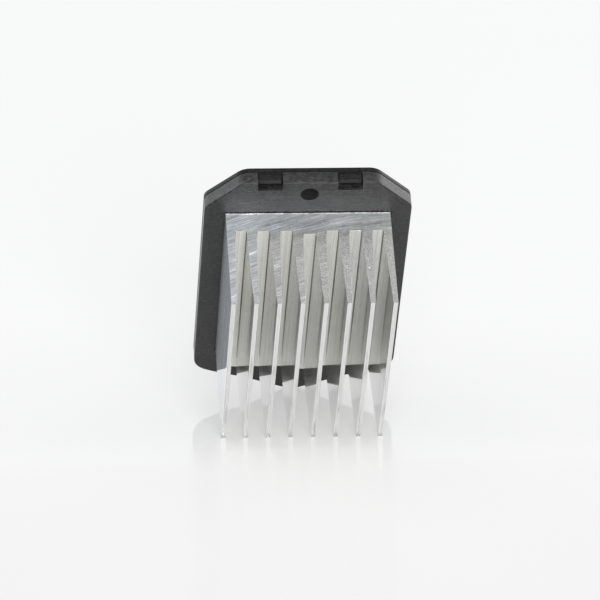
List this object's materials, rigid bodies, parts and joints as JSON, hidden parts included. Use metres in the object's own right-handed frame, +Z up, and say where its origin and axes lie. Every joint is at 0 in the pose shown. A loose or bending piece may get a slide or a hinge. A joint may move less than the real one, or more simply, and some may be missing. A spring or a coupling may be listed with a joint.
{
  "type": "blower motor control module",
  "caption": "Blower-speed control module: finned aluminium heat sink on a flanged black plastic housing with a screw hole, locating tongue and rear blade connector.",
  "frame": {"origin": "centre of the fixing-screw hole, on the seating face of the flange", "axes": "+X across the unit, +Y to the rear along the screw hole (connector side, fins towards -Y), +Z up along the fins from the locating tongue to the screw hole"},
  "size_m": [0.063, 0.0718, 0.1023],
  "materials": {
    "heat_sink": "extruded, sawn ends",
    "front_tray": "satin moulded",
    "rear_cover": "satin moulded",
    "sink_seal": "soft silicone",
    "cover_seal": "soft silicone",
    "sink_screws": "zinc plated",
    "thermal_pad": "filled silicone sheet",
    "transistor_case": "moulded epoxy",
    "transistor_tab": "nickel plated",
    "transistor_leads": "tin plated",
    "transistor_washer": "zinc plated",
    "transistor_screw": "zinc plated",
    "circuit_board": "solder resist",
    "board_screws": "zinc plated",
    "supply_terminal": "tin plated",
    "motor_terminal": "tin plated",
    "ground_terminal": "tin plated",
    "signal_terminal": "tin plated",
    "capacitor_can": "drawn",
    "capacitor_sleeve": "shrunk film",
    "capacitor_bung": "matt",
    "capacitor_leads": "tin plated",
    "diode_body": "moulded epoxy",
    "diode_band": "printed",
    "diode_leads": "tin plated",
    "choke_core": "ferrite",
    "choke_winding": "enamelled copper",
    "shunt_resistor": "resistance alloy strip",
    "control_chip": "moulded epoxy",
    "chip_leads": "tin plated",
    "ceramic_capacitors": "fired ceramic",
    "ceramic_capacitor_ends": "tin plated",
    "chip_resistors": "glazed",
    "chip_resistor_ends": "tin plated",
    "surge_suppressor": "moulded epoxy",
    "suppressor_tabs": "tin plated",
    "solder_joints": "solder"
  },
  "bodies": {
    "root": {"heat_sink": "heat_sink", "front_tray": "front_tray", "rear_cover": "rear_cover", "sink_seal": "sink_seal", "cover_seal": "cover_seal", "sink_screws": "sink_screws", "thermal_pad": "thermal_pad", "transistor_case": "transistor_case", "transistor_tab": "transistor_tab", "transistor_leads": "transistor_leads", "transistor_washer": "transistor_washer", "transistor_screw": "transistor_screw", "circuit_board": "circuit_board", "board_screws": "board_screws", "supply_terminal": "supply_terminal", "motor_terminal": "motor_terminal", "ground_terminal": "ground_terminal", "signal_terminal": "signal_terminal", "capacitor_can": "capacitor_can", "capacitor_sleeve": "capacitor_sleeve", "capacitor_bung": "capacitor_bung", "capacitor_leads": "capacitor_leads", "diode_body": "diode_body", "diode_band": "diode_band", "diode_leads": "diode_leads", "choke_core": "choke_core", "choke_winding": "choke_winding", "shunt_resistor": "shunt_resistor", "control_chip": "control_chip", "chip_leads": "chip_leads", "ceramic_capacitors": "ceramic_capacitors", "ceramic_capacitor_ends": "ceramic_capacitor_ends", "chip_resistors": "chip_resistors", "chip_resistor_ends": "chip_resistor_ends", "surge_suppressor": "surge_suppressor", "suppressor_tabs": "suppressor_tabs", "solder_joints": "solder_joints"}
  },
  "joints": []
}
